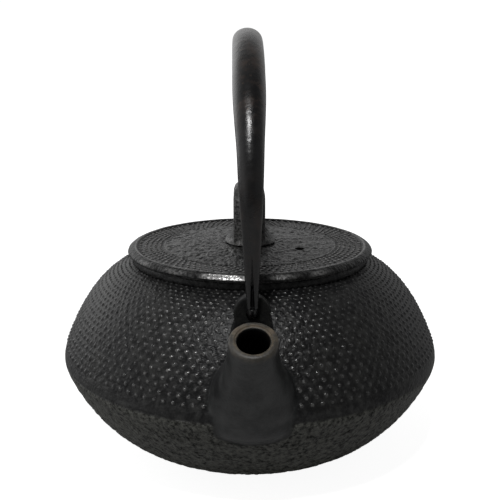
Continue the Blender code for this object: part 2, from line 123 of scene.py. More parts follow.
def solid_grid(name, points):
    """A closed solid from rows x columns x 3 points, capped with a fan at each end."""
    rows, cols = points.shape[:2]
    verts = np.concatenate([points.reshape(-1, 3), [points[0].mean(0), points[-1].mean(0)]])
    j = np.arange(cols)
    k = (j + 1) % cols
    top, bottom = rows * cols, rows * cols + 1
    fan = np.concatenate(
        [
            np.stack([np.full(cols, top), j, k], -1),
            np.stack([np.full(cols, bottom), (rows - 1) * cols + k, (rows - 1) * cols + j], -1),
        ]
    )
    return add(name, mesh_from(name, verts, grid_faces(rows, cols), fan))


def turned_points(profile, cols, lift):
    """Points of a profile turned about Z, each moved along its normal by lift."""
    profile = np.asarray(profile, float)
    theta = np.arange(cols) * TAU / cols
    along = np.gradient(profile, axis=0)
    normal = np.stack([-along[:, 1], along[:, 0]], -1)
    normal /= np.maximum(np.linalg.norm(normal, axis=1, keepdims=True), 1e-12)
    lift = np.zeros((len(profile), cols)) if lift is None else lift
    r = profile[:, :1] + normal[:, :1] * lift
    z = profile[:, 1:] + normal[:, 1:] * lift
    return np.stack([r * np.cos(theta), r * np.sin(theta), z], -1)


def turned(name, profile, cols, lift=None, ring=False):
    points = turned_points(profile, cols, lift)
    if ring:
        return add(name, mesh_from(name, points.reshape(-1, 3), grid_faces(*points.shape[:2], True)))
    return solid_grid(name, points)


def bezier(start, bend, end, n):
    t = np.linspace(0, 1, n)[:, None]
    a, b, c = (np.array(p, float) for p in (start, bend, end))
    return (1 - t) ** 2 * a + 2 * t * (1 - t) * b + t * t * c


def even(points, n):
    """n points evenly spaced along a line."""
    d = np.concatenate([[0], np.cumsum(np.linalg.norm(np.diff(points, axis=0), axis=1))])
    at = np.linspace(0, d[-1], n)
    return np.stack([np.interp(at, d, points[:, k]) for k in range(points.shape[1])], -1)


def smooth_rows(table, n):
    """n rows along a smooth curve through every row of a table."""
    rows = np.array(table, float)
    rows = np.concatenate([[2 * rows[0] - rows[1]], rows, [2 * rows[-1] - rows[-2]]])
    out = []
    for u in np.linspace(0, len(table) - 1, n):
        i = min(int(u), len(table) - 2)
        t = u - i
        a, b, c, d = rows[i : i + 4]
        out.append(b + 0.5 * t * (c - a + t * (2 * a - 5 * b + 4 * c - d + t * (3 * (b - c) + d - a))))
    return np.array(out)


def spout_points(table, rows, cols):
    table = smooth_rows(table, rows)
    turn = np.arange(cols) * TAU / cols
    points = []
    for y, z, wide, high, tilt in table:
        a = math.radians(tilt)
        x = wide * np.cos(turn)
        points.append(
            np.stack([x, y + high * math.sin(a) * np.sin(turn), z + high * math.cos(a) * np.sin(turn)], -1)
        )
    return np.array(points) * MM


def combine(obj, other, operation):
    """Joins or cuts with a fast solver, applies it and removes the other object."""
    modifier = obj.modifiers.new("b", "BOOLEAN")
    modifier.operation = operation
    modifier.solver = "MANIFOLD"
    modifier.object = other
    settle(obj)
    bpy.data.objects.remove(other)
    return obj


def settle(obj):
    """The object's modifiers applied to its mesh."""
    graph = bpy.context.evaluated_depsgraph_get()
    mesh = bpy.data.meshes.new_from_object(obj.evaluated_get(graph))
    obj.modifiers.clear()
    old, obj.data = obj.data, mesh
    bpy.data.meshes.remove(old)
    return obj


def coordinates(obj):
    co = np.empty(len(obj.data.vertices) * 3, np.float32)
    obj.data.vertices.foreach_get("co", co)
    return co.reshape(-1, 3).astype(float)


def mark(obj, name, values):
    attribute = obj.data.attributes.new(name, "FLOAT", "POINT")
    attribute.data.foreach_set("value", np.clip(values, 0, 1).astype(np.float32))


def finish_mesh(obj, sharp):
    obj.data.shade_smooth()
    obj.data.set_sharp_from_angle(angle=math.radians(sharp))


def grain(rows, cols, cell_rows, cell_cols, seed):
    """Smooth random heights from -1 to 1 on a grid that is closed round its columns."""
    rng = np.random.default_rng(seed)
    n, m = max(2, int(rows / cell_rows)) + 2, max(3, int(cols / cell_cols))
    lattice = rng.uniform(-1, 1, (n, m))
    u, v = np.linspace(0, n - 1.001, rows), np.arange(cols) * m / cols
    i, j = u.astype(int), v.astype(int)
    fu, fv = u - i, v - j
    fu, fv = (fu * fu * (3 - 2 * fu))[:, None], (fv * fv * (3 - 2 * fv))[None]
    k = (j + 1) % m
    low = lattice[i][:, j] * (1 - fv) + lattice[i][:, k] * fv
    high = lattice[i + 1][:, j] * (1 - fv) + lattice[i + 1][:, k] * fv
    return low * (1 - fu) + high * fu


def plane_grain(x, y, cell, seed):
    """Smooth random heights from -1 to 1 over a plane, with bumps about one cell wide."""
    side = 256
    lattice = np.random.default_rng(seed).uniform(-1, 1, (side, side))
    u, v = x / cell + side / 2, y / cell + side / 2
    i, j = np.floor(u).astype(int), np.floor(v).astype(int)
    fu, fv = u - i, v - j
    fu, fv = fu * fu * (3 - 2 * fu), fv * fv * (3 - 2 * fv)
    i, j, k, n = i % side, j % side, (j + 1) % side, (i + 1) % side
    low = lattice[i, j] * (1 - fv) + lattice[i, k] * fv
    high = lattice[n, j] * (1 - fv) + lattice[n, k] * fv
    return low * (1 - fu) + high * fu


def step(values, low, high):
    t = np.clip((values - low) / (high - low), 0, 1)
    return t * t * (3 - 2 * t)


class Dots:
    """Staggered rings of small domes on a turned surface. q is the way along the profile over radius."""

    def __init__(self, q_start, q_end, rows, count, radius, height, seed):
        self.q_start, self.rows, self.count = q_start, rows, count
        self.dq, self.dt = (q_end - q_start) / (rows - 1), TAU / count
        self.radius, self.height = radius, height
        rng = np.random.default_rng(seed)
        self.keep = np.ones((rows, count))
        self.size = rng.uniform(0.82, 1.1, (rows, count))
        self.slip = rng.uniform(-0.045, 0.045, (2, rows, count))

    def centres(self):
        i, j = np.meshgrid(np.arange(self.rows), np.arange(self.count), indexing="ij")
        q = self.q_start + self.dq * (i + self.slip[0])
        return q, self.dt * (j + 0.5 * (i % 2) + self.slip[1])

    def __call__(self, q, theta):
        """Height from 0 to 1 at each place."""
        best = np.zeros(np.broadcast(q, theta).shape)
        base = np.floor((q - self.q_start) / self.dq).astype(int)
        for extra in (0, 1):
            i = np.clip(base + extra, 0, self.rows - 1)
            j = np.round(theta / self.dt - 0.5 * (i % 2)).astype(int)
            c = j % self.count
            across = theta - self.dt * (j + 0.5 * (i % 2) + self.slip[1][i, c])
            along = q - self.q_start - self.dq * (i + self.slip[0][i, c])
            d = np.sqrt(across**2 + along**2) / (self.radius * self.size[i, c])
            dome = np.clip(1 - d * d, 0, 1) ** 0.9
            best = np.maximum(best, dome * self.keep[i, c] * self.size[i, c])
        return best


# ---------------------------------------------------------------- materials


class Shader:
    """Builds one material's nodes."""

    def __init__(self, name):
        self.made = bpy.data.materials.new(name)
        self.made.use_nodes = True
        self.tree = self.made.node_tree
        self.main = self.tree.nodes["Principled BSDF"]
        self.place = self.tree.nodes.new("ShaderNodeTexCoord").outputs["Object"]

    def put(self, socket, value):
        if isinstance(value, bpy.types.NodeSocket):
            self.tree.links.new(value, socket)
        else:
            socket.default_value = value

    def node(self, kind, out=0, inputs=(), **settings):
        made = self.tree.nodes.new("ShaderNode" + kind)
        for key, value in settings.items():
            setattr(made, key, value)
        for key, value in dict(inputs).items():
            self.put(made.inputs[key], value)
        return made.outputs[out]

    def noise(self, scale, detail=4, rough=0.6, place=None):
        inputs = {"Vector": place or self.place, "Scale": scale, "Detail": detail, "Roughness": rough}
        return self.node("TexNoise", 0, inputs)

    def attribute(self, name):
        return self.node("Attribute", "Fac", attribute_name=name)

    def ramp(self, value, low, high, out_low=0.0, out_high=1.0):
        inputs = {0: value, 1: low, 2: high, 3: out_low, 4: out_high}
        return self.node("MapRange", 0, inputs, interpolation_type="SMOOTHSTEP")

    def math(self, operation, a, b=0.0):
        return self.node("Math", 0, {0: a, 1: b}, operation=operation)

    def mix(self, factor, a, b):
        """A mix of two colours."""
        a, b = ((*colour, 1) if isinstance(colour, tuple) else colour for colour in (a, b))
        inputs = {0: factor, 6: a, 7: b}
        return self.node("Mix", 2, inputs, data_type="RGBA")

    def blend(self, factor, a, b):
        """A mix of two numbers."""
        return self.node("Mix", 0, {0: factor, 2: a, 3: b}, data_type="FLOAT")

    def bump(self, height, distance):
        return self.node("Bump", 0, {"Height": height, "Distance": distance, "Strength": 1.0})

    def end(self, **sockets):
        for key, value in sockets.items():
            self.put(self.main.inputs[key.replace("_", " ")], value)
        return self.made


def iron_material():
    s = Shader("cast_iron_skin")
    wear_and_highlight, rust, spout = s.attribute("wear_and_highlight"), s.attribute("rust"), s.attribute("spout")
    belly, inside, lug = s.attribute("belly"), s.attribute("inside"), s.attribute("lug")
    broad, fine, sand = s.noise(38, 5), s.noise(420, 5, 0.65), s.noise(950, 1.5, 0.5)
    colour = s.mix(s.ramp(broad, 0.35, 0.7), (0.005, 0.005, 0.0056), (0.010, 0.010, 0.0096))
    colour = s.mix(s.ramp(fine, 0.45, 0.75, 0, 0.5), colour, (0.020, 0.020, 0.018))
    mottle = s.ramp(s.noise(620, 4, 0.6), 0.3, 0.7)
    stone = s.mix(mottle, (0.012, 0.012, 0.0105), (0.098, 0.099, 0.084))
    colour = s.mix(s.math("MULTIPLY", belly, 0.9), colour, stone)
    cloud = s.noise(110, 5, 0.65)
    satin = s.mix(s.ramp(cloud, 0.38, 0.66), (0.006, 0.0065, 0.0068), (0.015, 0.016, 0.0158))
    colour = s.mix(spout, colour, satin)
    # Inside and in the spout's bore: stained iron, and painted shade that keeps the bore dark and dull.
    stained_and_shaded = s.mix(s.ramp(fine, 0.4, 0.7), (0.003, 0.003, 0.003), (0.012, 0.008, 0.006))
    colour = s.mix(inside, colour, stained_and_shaded)
    # Pale metallic spots: rubbed wear on the dot tops and ridge, with painted glints on the front-facing
    # dots and at the ridge's front left.
    flecks = s.ramp(s.noise(900, 4, 0.75), 0.38, 0.62)
    bare_and_highlight = s.math("MULTIPLY", s.ramp(wear_and_highlight, 0.4, 0.9), flecks)
    colour = s.mix(bare_and_highlight, colour, (0.26, 0.256, 0.25))
    rusty = s.mix(s.ramp(s.noise(500, 5, 0.7), 0.35, 0.68), (0.035, 0.030, 0.022), (0.112, 0.090, 0.060))
    rusty = s.mix(s.ramp(rust, 0.6, 0.9), rusty, (0.19, 0.135, 0.085))
    rusted = s.math("MULTIPLY", s.ramp(rust, 0.0, 0.6), s.ramp(s.noise(260, 5), 0.25, 0.5, 0.5, 1.0))
    colour = s.mix(rusted, colour, rusty)
    rough = s.ramp(fine, 0.3, 0.75, 0.36, 0.55)
    rough = s.blend(belly, rough, s.blend(mottle, 0.36, 0.62))
    rough = s.blend(spout, rough, s.ramp(cloud, 0.38, 0.66, 0.34, 0.5))
    rough = s.blend(wear_and_highlight, rough, 0.13)
    rough = s.blend(rusted, rough, 0.7)
    rough = s.blend(inside, rough, 0.75)
    gloss = s.blend(belly, s.ramp(fine, 0.35, 0.65, 0.2, 0.5), s.blend(mottle, 0.05, 0.7))
    gloss = s.blend(spout, gloss, s.ramp(cloud, 0.36, 0.66, 0.5, 0.8))
    gloss = s.blend(wear_and_highlight, gloss, 0.9)
    # Low specular on the lugs and inside; the line along the spout's root is painted shade.
    gloss = s.blend(s.math("MAXIMUM", lug, inside), gloss, 0.1)
    calm = s.blend(s.math("MAXIMUM", spout, s.math("MULTIPLY", wear_and_highlight, 0.9)), s.blend(belly, 0.42, 1.5), 0.12)
    skin = s.math("MULTIPLY", s.math("ADD", s.math("MULTIPLY", fine, 0.7), sand), calm)
    normal = s.bump(skin, 0.0006)
    metal = s.math("MULTIPLY", bare_and_highlight, 0.7)
    return s.end(Base_Color=colour, Roughness=rough, Metallic=metal, Specular_IOR_Level=gloss, Normal=normal)


def lid_material():
    s = Shader("cast_iron_lid")
    wear_and_highlight, disc, hole, ring = (s.attribute(name) for name in ("wear_and_highlight", "disc", "hole", "ring"))
    fine, sand = s.noise(520, 5, 0.65), s.noise(950, 1.5, 0.5)
    colour = s.mix(s.ramp(s.noise(60, 5), 0.35, 0.7), (0.005, 0.005, 0.0054), (0.011, 0.011, 0.0105))
    colour = s.mix(s.ramp(fine, 0.45, 0.72, 0, 0.6), colour, (0.022, 0.0215, 0.020))
    colour = s.mix(s.math("MULTIPLY", disc, s.ramp(fine, 0.3, 0.7, 0.2, 0.9)), colour, (0.028, 0.028, 0.027))
    # Near-white bare metal on the rim: rubbed wear, and at the front left a painted highlight.
    bare_and_highlight = s.math("MULTIPLY", wear_and_highlight, s.ramp(s.noise(1000, 4, 0.75), 0.36, 0.58))
    colour = s.mix(bare_and_highlight, colour, (0.85, 0.84, 0.83))
    rough = s.blend(bare_and_highlight, s.ramp(fine, 0.3, 0.75, 0.28, 0.48), 0.18)
    # The vent's wall is painted black: painted shade in the hole.
    colour = s.mix(hole, colour, (0.001, 0.001, 0.001))
    gloss = s.ramp(fine, 0.38, 0.62, 0.05, s.blend(disc, 0.3, 1.0))
    gloss = s.blend(hole, s.blend(wear_and_highlight, gloss, 0.8), 0.0)
    skin = s.math("ADD", s.math("MULTIPLY", fine, 0.6), sand)
    skin = s.math("MULTIPLY", skin, s.blend(s.math("MAXIMUM", wear_and_highlight, ring), s.blend(disc, 1.0, 1.6), 0.3))
    normal = s.bump(skin, 0.0005)
    return s.end(Base_Color=colour, Roughness=rough, Metallic=bare_and_highlight, Specular_IOR_Level=gloss, Normal=normal)


def handle_material():
    s = Shader("blackened_steel_bow")
    wear_and_highlight = s.attribute("wear_and_highlight")
    broad, fine = s.noise(55, 5), s.noise(600, 6, 0.65)
    colour = s.mix(s.ramp(broad, 0.35, 0.7), (0.004, 0.004, 0.0045), (0.009, 0.0088, 0.009))
    brown = s.math("MULTIPLY", wear_and_highlight, s.ramp(s.noise(150, 5, 0.7), 0.42, 0.68))
    colour = s.mix(brown, colour, (0.034, 0.023, 0.018))
    scratch = s.ramp(s.noise(900, 2, 0.5), 0.68, 0.78)
    bare_and_highlight = s.math("MULTIPLY", wear_and_highlight, scratch)
    colour = s.mix(bare_and_highlight, colour, (0.12, 0.09, 0.07))
    rough = s.blend(brown, s.ramp(broad, 0.3, 0.7, 0.22, 0.32), 0.34)
    metallic = s.math("MULTIPLY", bare_and_highlight, 0.6)
    skin = s.math("ADD", fine, s.math("MULTIPLY", s.noise(180, 2), 1.2))
    return s.end(Base_Color=colour, Roughness=rough, Metallic=metallic, Normal=s.bump(skin, 0.0001))


def steel_material(name, stretch):
    """Brushed stainless steel, its brush marks drawn out along the axes with a small stretch."""
    s = Shader(name)
    place = s.node("Mapping", 0, {"Vector": s.place, "Scale": stretch})
    brush = s.noise(1.0, 5, 0.6, place)
    stain = s.noise(70, 4)
    colour = s.mix(s.ramp(brush, 0.3, 0.7), (0.42, 0.42, 0.41), (0.60, 0.60, 0.58))
    colour = s.mix(s.ramp(stain, 0.5, 0.8, 0, 0.5), colour, (0.30, 0.24, 0.17))
    rough = s.ramp(brush, 0.3, 0.7, 0.22, 0.42)
    return s.end(Base_Color=colour, Roughness=rough, Metallic=1.0, Normal=s.bump(brush, 0.00004))


def paint(obj, material):
    obj.data.materials.clear()
    obj.data.materials.append(material)


# ---------------------------------------------------------------- kettle body


BODY_COLS = 1536
SHOULDER_ROWS = 172
BELLY_ROWS = 84
SHOULDER_TOP_Z = 77.3 * MM
RIDGE_HALF = 2.7 * MM  # the ridge's rounding ends this far above and below it
WALL = 3.6 * MM
NECK_HOLE_R = 42.2 * MM
LEDGE_R = 44.5 * MM
LEDGE_Z = 78.4 * MM
LUG_Y = 62.3 * MM
LUG_R = 6.3 * MM
LUG_EYE_R = 2.1 * MM
LUG_EDGE = (  # depth through the lug and how much the outline is drawn in, in mm
    (-2.5, 0.9),
    (-2.35, 0.4),
    (-1.9, 0.1),
    (-1.2, 0),
    (1.2, 0),
    (1.9, 0.1),
    (2.35, 0.4),
    (2.5, 0.9),
)
LIP = ((1.0, 1.2), (0.985, 0.7), (0.95, 0.3), (0.9, 0.08), (0.84, 0.0))  # share of the section, depth in mm
MOUTH_OUT = np.array([0, -math.cos(MOUTH_TILT), math.sin(MOUTH_TILT)])
MOUTH_UP = np.array([0, math.sin(MOUTH_TILT), math.cos(MOUTH_TILT)])


def shoulder_profile(rows):
    """The upper profile with rows even in q, and each row's q."""
    line = bezier((NECK_R, SHOULDER_TOP_Z), (65.1 * MM, 72.4 * MM), (RIDGE_R, RIDGE_Z + RIDGE_HALF), 4000)
    length = np.linalg.norm(np.diff(line, axis=0), axis=1)
    q = np.concatenate([[0], np.cumsum(length / ((line[1:, 0] + line[:-1, 0]) / 2))])
    at = np.linspace(0, q[-1], rows)
    return np.stack([np.interp(at, q, line[:, k]) for k in (0, 1)], -1), at


def lug_outline():
    arc = np.radians(np.arange(-20, 201, 5))
    top = [(LUG_R / MM * math.cos(a), LUG_R / MM * math.sin(a)) for a in arc]
    return [*top, (-7.6, -7.5), (-9.6, -14.5), (9.6, -14.5), (7.6, -7.5)]


def lug(y):
    """An upright ear with softened edges."""
    line = np.array(lug_outline() + lug_outline()[:1]) * MM
    line = even(line, 121)[:-1]
    rows = []
    for depth, shrink in LUG_EDGE:
        size = 1 - shrink * MM / (7 * MM)
        level = np.full(len(line), y - depth * MM)
        rows.append(np.stack([line[:, 0] * size, level, PIVOT_Z + line[:, 1] * size], -1))
    return solid_grid("lug", np.array(rows))


def rod(start, end, radius):
    start, end = Vector(start), Vector(end)
    turn = (end - start).to_track_quat("Z", "Y")
    angles = np.arange(40) * TAU / 40
    ring = [turn @ Vector((radius * math.cos(a), radius * math.sin(a), 0)) for a in angles]
    return solid_grid("rod", np.array([[start + p for p in ring], [end + p for p in ring]])[::-1])


def tree_of(obj):
    return BVHTree.FromPolygons([v.co for v in obj.data.vertices], [p.vertices for p in obj.data.polygons])


def signed(tree, point):
    """Distance to a closed shape, negative inside."""
    near, normal, _, distance = tree.find_nearest(Vector(point))
    return distance if (Vector(point) - near).dot(normal) > 0 else -distance


def polar(co):
    return np.hypot(co[:, 0], co[:, 1]), np.arctan2(co[:, 1], co[:, 0]) % TAU


def near_spout(co):
    """Numbers of the vertices in the block around the spout."""
    return np.nonzero((np.abs(co[:, 0]) < 24 * MM) & (co[:, 1] < -50 * MM))[0]


class Casting:
    """The body's outer profile in its stretches, its spout, its lugs and its hobnails."""

    def __init__(self):
        self.neck = [(0, NECK_Z), (NECK_R - 1.2 * MM, NECK_Z), (NECK_R - 0.3 * MM, NECK_Z - 0.1 * MM)]
        self.neck += [(NECK_R, NECK_Z - 0.5 * MM), (NECK_R, 78.2 * MM), (NECK_R + 0.05 * MM, 77.5 * MM)]
        self.upper, self.q = shoulder_profile(SHOULDER_ROWS)
        below = (RIDGE_R, RIDGE_Z - RIDGE_HALF)
        self.ridge = bezier(self.upper[-1], (RIDGE_R + 0.95 * MM, RIDGE_Z), below, 13)[1:]
        line = bezier(self.ridge[-1], (62.4 * MM, 4.8 * MM), (BASE_R, 0), 400)
        self.belly = even(line, BELLY_ROWS)[1:]
        self.base = [(BASE_R - 0.8 * MM, 0), (BASE_R * 0.6, 0), (0.2 * MM, 0)]
        self.profile = np.concatenate([self.neck, self.upper, self.ridge, self.belly, self.base])
        self.spout = spout_solid()
        self.lugs = [lug(y) for y in (-LUG_Y, LUG_Y)]
        self.spout_tree = tree_of(self.spout)
        self.dots = self.hobnails([self.spout_tree, *(tree_of(piece) for piece in self.lugs)])

    def hobnails(self, trees):
        """Rings of dots over the shoulder, without those that the spout or a lug covers."""
        dots = Dots(0.012, self.q[-1] - 0.036, 21, 130, 0.0112, 0.5 * MM, 7)
        q, theta = dots.centres()
        r, z = (np.interp(q, self.q, self.upper[:, k]) for k in (0, 1))
        spots = np.stack([r * np.cos(theta), r * np.sin(theta), z], -1)
        for i, j in np.ndindex(dots.keep.shape):
            spot = spots[i, j]
            if abs(spot[0]) < 30 * MM and min(signed(tree, spot) for tree in trees) < 1.2 * MM:
                dots.keep[i, j] = 0
        return dots

    def skin(self):
        """How far each point of the turned grid stands out: hobnails, sand-cast grain, rough belly."""
        lift = np.zeros((len(self.profile), BODY_COLS))
        theta = np.arange(BODY_COLS)[None] * TAU / BODY_COLS
        ridge_at = len(self.neck) + SHOULDER_ROWS
        belly_at = ridge_at + len(self.ridge)
        shoulder = slice(len(self.neck), ridge_at)
        height = self.dots.height * (self.upper[:, :1] / RIDGE_R)
        lift[shoulder] += self.dots(self.q[:, None], theta) * height
        lift[shoulder] += 0.05 * MM * grain(SHOULDER_ROWS, BODY_COLS, 3, 4, 1)
        count = len(self.profile) - 2 - belly_at
        rough = 0.16 * MM * grain(count, BODY_COLS, 1.2, 4, 2)
        rough += 0.20 * MM * grain(count, BODY_COLS, 2.2, 8, 3)
        fade = step(np.arange(count), 0, 5)[:, None]
        lift[belly_at : belly_at + count] += fade * (np.minimum(rough, 0.2 * MM) - 0.1 * MM)
        lift[ridge_at:belly_at] += 0.05 * MM * (grain(len(self.ridge), BODY_COLS, 5, 14, 4) - 1)
        lift[belly_at + count - 6 :] = 0
        return lift


def spout_solid():
    spout = spout_points(SPOUT, 70, 120)
    end = spout[-1]
    centre = end.mean(0)
    lip = [centre + (end - centre) * share - MOUTH_OUT * depth * MM for share, depth in LIP]
    return solid_grid("spout_form", np.concatenate([spout[:-4], np.array(lip)])[::-1])


def soften_joint(body, spout_tree, body_tree):
    """Smooths the corner between spout and body, over a wider band low down."""
    co = coordinates(body)
    group = body.vertex_groups.new(name="join")
    for i in near_spout(co):
        gap = max(abs(signed(spout_tree, co[i])), abs(signed(body_tree, co[i])))
        reach = 0.7 * MM + 1.6 * MM * float(step(co[i, 2], 46 * MM, 36 * MM))
        if gap < reach:
            group.add([int(i)], float(min(1, 2 * (1 - gap / reach))), "REPLACE")
    smooth = body.modifiers.new("s", "SMOOTH")
    smooth.vertex_group = "join"
    smooth.factor = 0.5
    smooth.iterations = 14
    settle(body)


def hollow_out(body, casting):
    """Cuts the inside, the spout's bore and the lugs' eyes."""
    top = NECK_Z + 4 * MM
    cavity = [(0.1 * MM, top), (LEDGE_R, top), (LEDGE_R, LEDGE_Z)]
    cavity += [(NECK_HOLE_R, LEDGE_Z), (NECK_HOLE_R, 73.9 * MM)]
    wall = np.concatenate([casting.upper[::6], casting.ridge[::3], casting.belly[::4]])
    along = np.gradient(wall, axis=0)
    along /= np.linalg.norm(along, axis=1, keepdims=True)
    inner = wall + WALL * np.stack([along[:, 1], -along[:, 0]], -1)
    inner = inner[(inner[:, 0] > 45.6 * MM) | (inner[:, 1] < RIDGE_Z)]
    inner = inner[inner[:, 1] > WALL + 0.1 * MM]
    cavity = np.concatenate([cavity, inner, [(BASE_R - 3 * MM, WALL), (0.1 * MM, WALL)]])
    combine(body, turned("cavity", cavity, 256), "DIFFERENCE")
    combine(body, solid_grid("bore", spout_points(BORE, 60, 72)[::-1]), "DIFFERENCE")
    for y in (-LUG_Y, LUG_Y):
        combine(body, rod((0, y - 5 * MM, PIVOT_Z), (0, y + 5 * MM, PIVOT_Z), LUG_EYE_R), "DIFFERENCE")


def spout_marks(co, spout_tree, body_tree):
    """How far each vertex belongs to the spout, and a painted shade line along its root, darker on the
    right.
    """
    on_spout, painted_crease_shade = np.zeros(len(co)), np.zeros(len(co))
    for i in near_spout(co):
        gap = signed(spout_tree, co[i])
        on_spout[i] = 1 - step(gap, 0.1 * MM, 1.2 * MM)
        deepest = max(abs(gap), abs(signed(body_tree, co[i]))) / (0.55 * MM)
        strength = 0.9 if co[i, 0] > 0 else 0.4
        painted_crease_shade[i] = math.exp(-(deepest**2)) * strength * step(co[i, 2], 44 * MM, 48 * MM)
    return on_spout, painted_crease_shade


def rust_marks(away, depth, off):
    """A thin line at the hole's edge and a dull zone over the lip, stronger in two blotches."""
    around = np.degrees(np.arctan2(away @ MOUTH_UP, away[:, 0]))
    blotch = sum(np.exp(-(((around - place) / 24) ** 2)) for place in (140, 30))
    line = np.exp(-(((off - 5.85 * MM) / (0.45 * MM)) ** 2)) * step(depth, -1.2 * MM, -0.4 * MM)
    zone = step(depth, -3.4 * MM, -0.8 * MM) * (off > 5.3 * MM) * step(8.6 * MM - off, 0, MM)
    return np.maximum(0.72 * line, zone * (0.26 + 0.46 * blotch))


def mark_body(body, casting, body_tree):
    co = coordinates(body)
    radius, angle = polar(co)
    back = np.argsort(-casting.upper[:, 1])
    q_of = np.interp(-co[:, 2], -casting.upper[back, 1], casting.q[back])
    r_of = np.interp(-co[:, 2], -casting.upper[back, 1], casting.upper[back, 0])
    on_shoulder = (co[:, 2] > RIDGE_Z + RIDGE_HALF) & (co[:, 2] < SHOULDER_TOP_Z)
    on_shoulder &= np.abs(radius - r_of) < 1.2 * MM
    tops = casting.dots(q_of, angle) * on_shoulder
    # Dot tops are rubbed bare, and the front-facing dots get more of it as painted glints; the ridge gets
    # slight wear and a painted glint line at the front left.
    glint_facing = np.exp(-(((np.degrees(angle) - 264) / 38) ** 2))
    wear_and_highlight = step(tops, 0.08, 0.45) * (0.35 + 0.42 * glint_facing)
    glint_front_left = np.exp(-(((np.degrees(angle) - 236) / 9) ** 2))
    edge = np.exp(-(((co[:, 2] - RIDGE_Z - 1.6 * MM) / (0.9 * MM)) ** 2)) * (radius > RIDGE_R - 0.6 * MM)
    mark(body, "wear_and_highlight", np.maximum(wear_and_highlight, edge * (0.06 + 0.45 * glint_front_left)))

    away = co - np.array(MOUTH)
    depth = away @ MOUTH_OUT
    off = np.linalg.norm(away - depth[:, None] * MOUTH_OUT, axis=1)
    rust = rust_marks(away, depth, off)
    mark(body, "rust", rust)

    on_spout, painted_crease_shade = spout_marks(co, casting.spout_tree, body_tree)
    mark(body, "spout", on_spout)
    on_lug = (np.abs(co[:, 0]) < 7.2 * MM) & (np.abs(np.abs(co[:, 1]) - LUG_Y) < 2.8 * MM)
    on_lug &= radius > r_of + 0.4 * MM
    # The line along the spout's root is painted shade, stored with the lugs.
    mark(body, "lug", np.maximum(painted_crease_shade, on_lug * (1 - on_spout)))
    low = 1 - step(co[:, 2], RIDGE_Z - 1.2 * MM, RIDGE_Z + 0.4 * MM)
    mark(body, "belly", low * (1 - on_spout))

    depth_in = np.interp(co[:, 2], casting.profile[::-1, 1], casting.profile[::-1, 0]) - radius
    inside = step(depth_in, 1.8 * MM, 2.6 * MM) * (co[:, 2] > 2 * MM) * (co[:, 2] < 79 * MM)
    # The spout's bore is darkened along with the inside as painted shade.
    in_bore = (off < 7.0 * MM) * (depth < -1.5 * MM) * (depth > -40 * MM) * (on_spout > 0)
    inside = np.maximum(inside, in_bore * step(7.2 * MM - off, 0, 0.8 * MM))
    mark(body, "inside", inside * (1 - rust))


def make_body():
    casting = Casting()
    body = turned("kettle_casting", casting.profile, BODY_COLS, casting.skin())
    plain = turned("plain", casting.profile, 160)
    body_tree = tree_of(plain)
    bpy.data.objects.remove(plain)
    for piece in (casting.spout, *casting.lugs):
        combine(body, piece, "UNION")
    soften_joint(body, casting.spout_tree, body_tree)
    hollow_out(body, casting)
    mark_body(body, casting, body_tree)
    finish_mesh(body, 55)
    paint(body, iron_material())
    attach(body, "kettle")
    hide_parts("kettle_body")


# ---------------------------------------------------------------- lid and knob


LID_COLS = 1040
DISC_ROWS = 112
RING_ROWS = 44
CROWN_ROWS = 13  # rows of the rim that carry the casting's grain
RING_START = 35.5 * MM  # the ring of hobnails between the disc and the rim
RING_STOP = 45.3 * MM
VENT = (19.6 * MM, -11.8 * MM)
VENT_R = 2.0 * MM
STEM_HOLE_R = 3.3 * MM
LID_DISC = ((0.15, 84.3), (13.0, 84.3), (24.0, 83.7), (34.2, 83.05))  # radius and height in mm
LID_KERB = ((34.8, 82.95), (35.2, 82.75))
LID_RIM = (
    *((45.5, 82.73), (45.75, 82.9), (46.0, 83.2), (46.3, 83.43), (46.65, 83.5)),
    *((47.1, 83.42), (47.9, 83.14), (48.6, 82.76), (49.15, 82.3), (49.5, 81.8)),
    *((49.6, 81.4), (49.55, 80.95), (49.25, 80.55), (48.7, 80.32), (48.0, 80.3)),
)
LID_UNDER = (
    *((44.0, 80.3), (40.2, 80.3), (40.1, 79.6), (39.8, 75.6), (39.5, 75.3), (37.9, 75.3)),
    *((37.6, 75.6), (37.5, 79.6), (37.3, 80.3), (20, 80.3), (0.15, 80.3)),
)
RUBBED = (  # degrees round the rim, width in degrees, strength
    (282, 5, 0.2),
    (236, 6, 0.16),
    (300, 4, 0.16),
    (96, 12, 0.2),
    (170, 9, 0.16),
    (20, 8, 0.16),
    (215, 5, 0.14),
)


def lid_skin(profile, field_r, dots):
    """How far each point of the lid's turned grid stands out: grain over the disc, hobnails in the ring."""
    theta = np.arange(LID_COLS)[None] * TAU / LID_COLS
    lift = np.zeros((len(profile), LID_COLS))
    x, y = profile[:, :1] * np.cos(theta), profile[:, :1] * np.sin(theta)
    skin = 0.15 * plane_grain(x, y, 1.1 * MM, 5) + 0.2 * plane_grain(x, y, 2.1 * MM, 6)
    lift[:DISC_ROWS] += (skin[:DISC_ROWS] - 0.3) * MM
    ring_at = DISC_ROWS + len(LID_KERB)
    ring = slice(ring_at, ring_at + RING_ROWS)
    lift[ring] += dots(np.log(field_r / RING_START)[:, None], theta) * dots.height
    lift[ring] += 0.2 * (skin[ring] - 0.1) * MM
    lift[ring.stop : ring.stop + CROWN_ROWS] += 0.05 * MM * (grain(CROWN_ROWS, LID_COLS, 6, 16, 10) - 1)
    return lift


